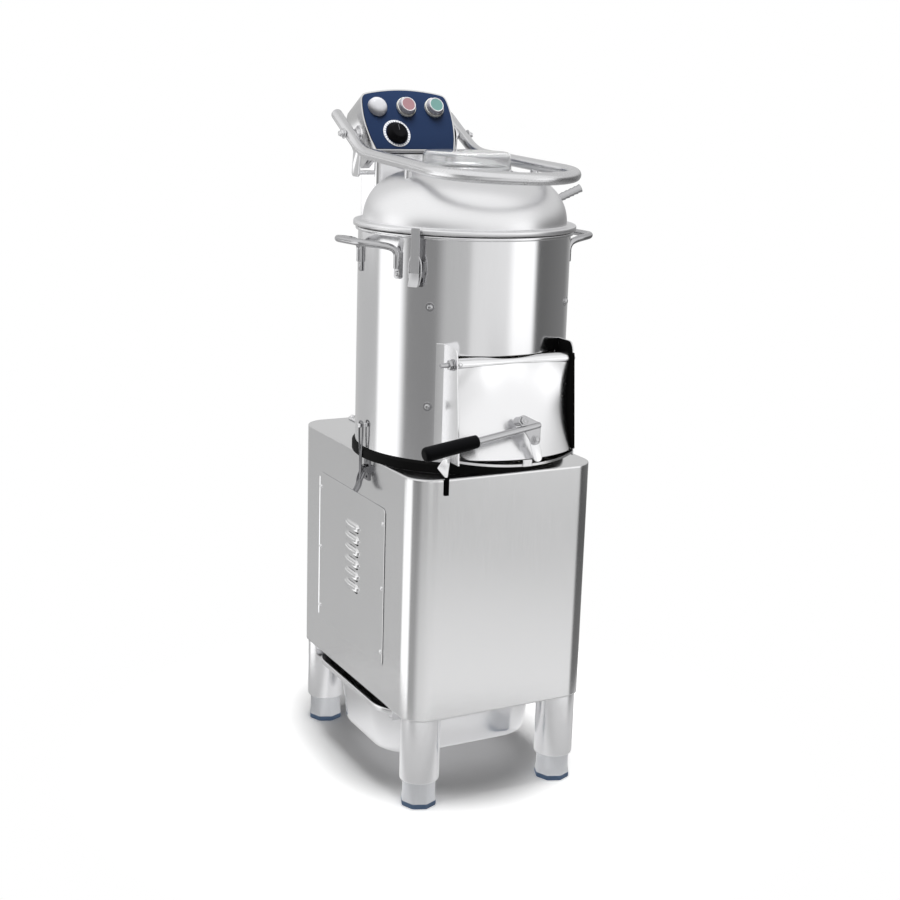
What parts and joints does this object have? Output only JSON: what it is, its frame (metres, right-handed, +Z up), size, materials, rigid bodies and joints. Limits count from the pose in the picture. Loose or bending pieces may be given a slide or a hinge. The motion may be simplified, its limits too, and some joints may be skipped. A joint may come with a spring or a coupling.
{
  "type": "electric potato peeler",
  "caption": "Floor-standing batch potato peeler: steel drum with domed hinged lid and bail, chute with clamp-lever door, belt-driven abrasive disc, peel basin and tilted control head.",
  "frame": {"origin": "on the floor under the middle of the machine's width and depth", "axes": "+Z up, -Y towards the chute (the front), +X to the right as one faces the chute"},
  "size_m": [0.4239, 0.5071, 1.0516],
  "materials": {
    "satin_steel": "satin",
    "steel": "brushed",
    "cast": "machined casting",
    "rubber": "matte",
    "black_plastic": "satin moulded",
    "navy": "satin paint",
    "red": "under a clear boot",
    "green": "under a clear boot",
    "white": "smooth",
    "clear": "clear plastic",
    "grit": "coarse abrasive grit in resin",
    "pad": "moulded",
    "motor_grey": "satin paint"
  },
  "bodies": {
    "machine": {"abrasive_liner": "grit", "access_panel": "satin_steel", "base_pan": "steel", "basin_rail_back": "steel", "basin_rail_front": "steel", "bearing_housing": "cast", "cabinet_floor": "satin_steel", "cabinet_shell": "satin_steel", "chute": "steel", "console_column": "steel", "console_head": "satin_steel", "control_panel": "navy", "door_hinge_rod": "steel", "drain_pipe": "black_plastic", "drive_belt": "rubber", "drum": "steel", "drum_seal": "rubber", "handle_left": "steel", "handle_right": "steel", "indicator_lamp": "white", "leg_back_left": "steel", "leg_back_right": "steel", "leg_front_left": "steel", "leg_front_right": "steel", "lower_bearing": "steel", "motor": "motor_grey", "motor_bracket": "satin_steel", "power_gland": "black_plastic", "shaft_seal": "rubber", "switch_block": "black_plastic", "timer_unit": "white", "upper_bearing": "steel"},
    "lid": {"lid": "satin_steel", "lid_gasket": "rubber", "bail_handle": "steel", "water_inlet": "steel"},
    "lid_cap": {"lid_cap": "clear"},
    "door": {"chute_door": "steel"},
    "door_lever": {"door_lever": "steel", "lever_grip": "black_plastic"},
    "clamp_tongue": {"clamp_tongue": "steel"},
    "lid_latch_lever": {"lid_latch_lever": "steel"},
    "lid_latch_strap": {"lid_latch_strap": "steel"},
    "drum_latch_left_lever": {"drum_latch_left_lever": "steel"},
    "drum_latch_left_loop": {"drum_latch_left_loop": "steel"},
    "drum_latch_right_lever": {"drum_latch_right_lever": "steel"},
    "drum_latch_right_loop": {"drum_latch_right_loop": "steel"},
    "stop_button": {"stop_button": "red"},
    "start_button": {"start_button": "green"},
    "timer_knob": {"timer_knob": "black_plastic"},
    "basin": {"peel_basin": "steel"},
    "rotor": {"abrasive_disc": "grit", "spindle": "steel", "driven_pulley": "cast"},
    "motor_rotor": {"motor_shaft": "steel", "motor_pulley": "cast"},
    "foot_front_left": {"foot_front_left": "pad"},
    "foot_front_right": {"foot_front_right": "pad"},
    "foot_back_left": {"foot_back_left": "pad"},
    "foot_back_right": {"foot_back_right": "pad"}
  },
  "joints": [
    {"name": "lid_hinge", "type": "hinge", "parent": "machine", "child": "lid", "pos_m": [0, 0.17597, 0.98215], "axis": [-1, 0, 0], "range_deg": [0, 105]},
    {"name": "cap_lift", "type": "slide", "parent": "lid", "child": "lid_cap", "axis": [0, 0, 1], "range_m": [0, 0.06]},
    {"name": "door_hinge", "type": "hinge", "parent": "machine", "child": "door", "pos_m": [0, -0.18151, 0.6778], "axis": [-1, 0, 0], "range_deg": [0, 95]},
    {"name": "lever_turn", "type": "hinge", "parent": "door", "child": "door_lever", "pos_m": [-0.008, -0.23384, 0.60169], "axis": [0, -0.9636, 0.2672], "range_deg": [0, 60]},
    {"name": "tongue_turn", "type": "hinge", "parent": "door_lever", "child": "clamp_tongue", "pos_m": [0.008, -0.23766, 0.57369], "axis": [0, -0.9636, 0.2672], "range_deg": [-60, 0]},
    {"name": "lid_latch_lever", "type": "hinge", "parent": "machine", "child": "lid_latch_lever", "pos_m": [-0.13081, -0.12861, 0.8], "axis": [-0.6157, 0.788, 0], "range_deg": [0, 110]},
    {"name": "lid_latch_strap", "type": "hinge", "parent": "lid_latch_lever", "child": "lid_latch_strap", "pos_m": [-0.13471, -0.13166, 0.787], "axis": [-0.6157, 0.788, 0], "range_deg": [-110, 0]},
    {"name": "drum_latch_left_lever", "type": "hinge", "parent": "machine", "child": "drum_latch_left_lever", "pos_m": [-0.16, -0.02641, 0.496], "axis": [0, 1, 0], "range_deg": [0, 110]},
    {"name": "drum_latch_left_loop", "type": "hinge", "parent": "drum_latch_left_lever", "child": "drum_latch_left_loop", "pos_m": [-0.16495, -0.02641, 0.483], "axis": [0, 1, 0], "range_deg": [-110, 0]},
    {"name": "drum_latch_right_lever", "type": "hinge", "parent": "machine", "child": "drum_latch_right_lever", "pos_m": [0.16, -0.02641, 0.496], "axis": [0, -1, 0], "range_deg": [0, 110]},
    {"name": "drum_latch_right_loop", "type": "hinge", "parent": "drum_latch_right_lever", "child": "drum_latch_right_loop", "pos_m": [0.16495, -0.02641, 0.483], "axis": [0, -1, 0], "range_deg": [-110, 0]},
    {"name": "stop_press", "type": "slide", "parent": "machine", "child": "stop_button", "axis": [0, 0.8669, -0.4985], "range_m": [0, 0.004], "stiffness_N_per_m": 400},
    {"name": "start_press", "type": "slide", "parent": "machine", "child": "start_button", "axis": [0, 0.8669, -0.4985], "range_m": [0, 0.004], "stiffness_N_per_m": 400},
    {"name": "timer_turn", "type": "hinge", "parent": "machine", "child": "timer_knob", "pos_m": [-0.027, 0.15715, 0.98358], "axis": [0, -0.8669, 0.4985], "range_deg": [-300, 0]},
    {"name": "basin_slide", "type": "slide", "parent": "machine", "child": "basin", "axis": [-1, 0, 0], "range_m": [0, 0.28]},
    {"name": "disc_spin", "type": "hinge", "parent": "machine", "child": "rotor", "pos_m": [0, -0.02641, 0.547], "axis": [0, 0, 1], "continuous": true},
    {"name": "motor_spin", "type": "hinge", "parent": "machine", "child": "motor_rotor", "pos_m": [0, 0.12859, 0.396], "axis": [0, 0, 1], "continuous": true},
    {"name": "foot_front_left_screw", "type": "slide", "parent": "machine", "child": "foot_front_left", "axis": [0, 0, -1], "range_m": [0, 0.03]},
    {"name": "foot_front_right_screw", "type": "slide", "parent": "machine", "child": "foot_front_right", "axis": [0, 0, -1], "range_m": [0, 0.03]},
    {"name": "foot_back_left_screw", "type": "slide", "parent": "machine", "child": "foot_back_left", "axis": [0, 0, -1], "range_m": [0, 0.03]},
    {"name": "foot_back_right_screw", "type": "slide", "parent": "machine", "child": "foot_back_right", "axis": [0, 0, -1], "range_m": [0, 0.03]}
  ],
  "couplings": [
    {"joint": "tongue_turn", "follows": "lever_turn", "ratio": -1},
    {"joint": "lid_latch_strap", "follows": "lid_latch_lever", "ratio": -1},
    {"joint": "drum_latch_left_loop", "follows": "drum_latch_left_lever", "ratio": -1},
    {"joint": "drum_latch_right_loop", "follows": "drum_latch_right_lever", "ratio": -1},
    {"joint": "motor_spin", "follows": "disc_spin", "ratio": 4.5393}
  ]
}
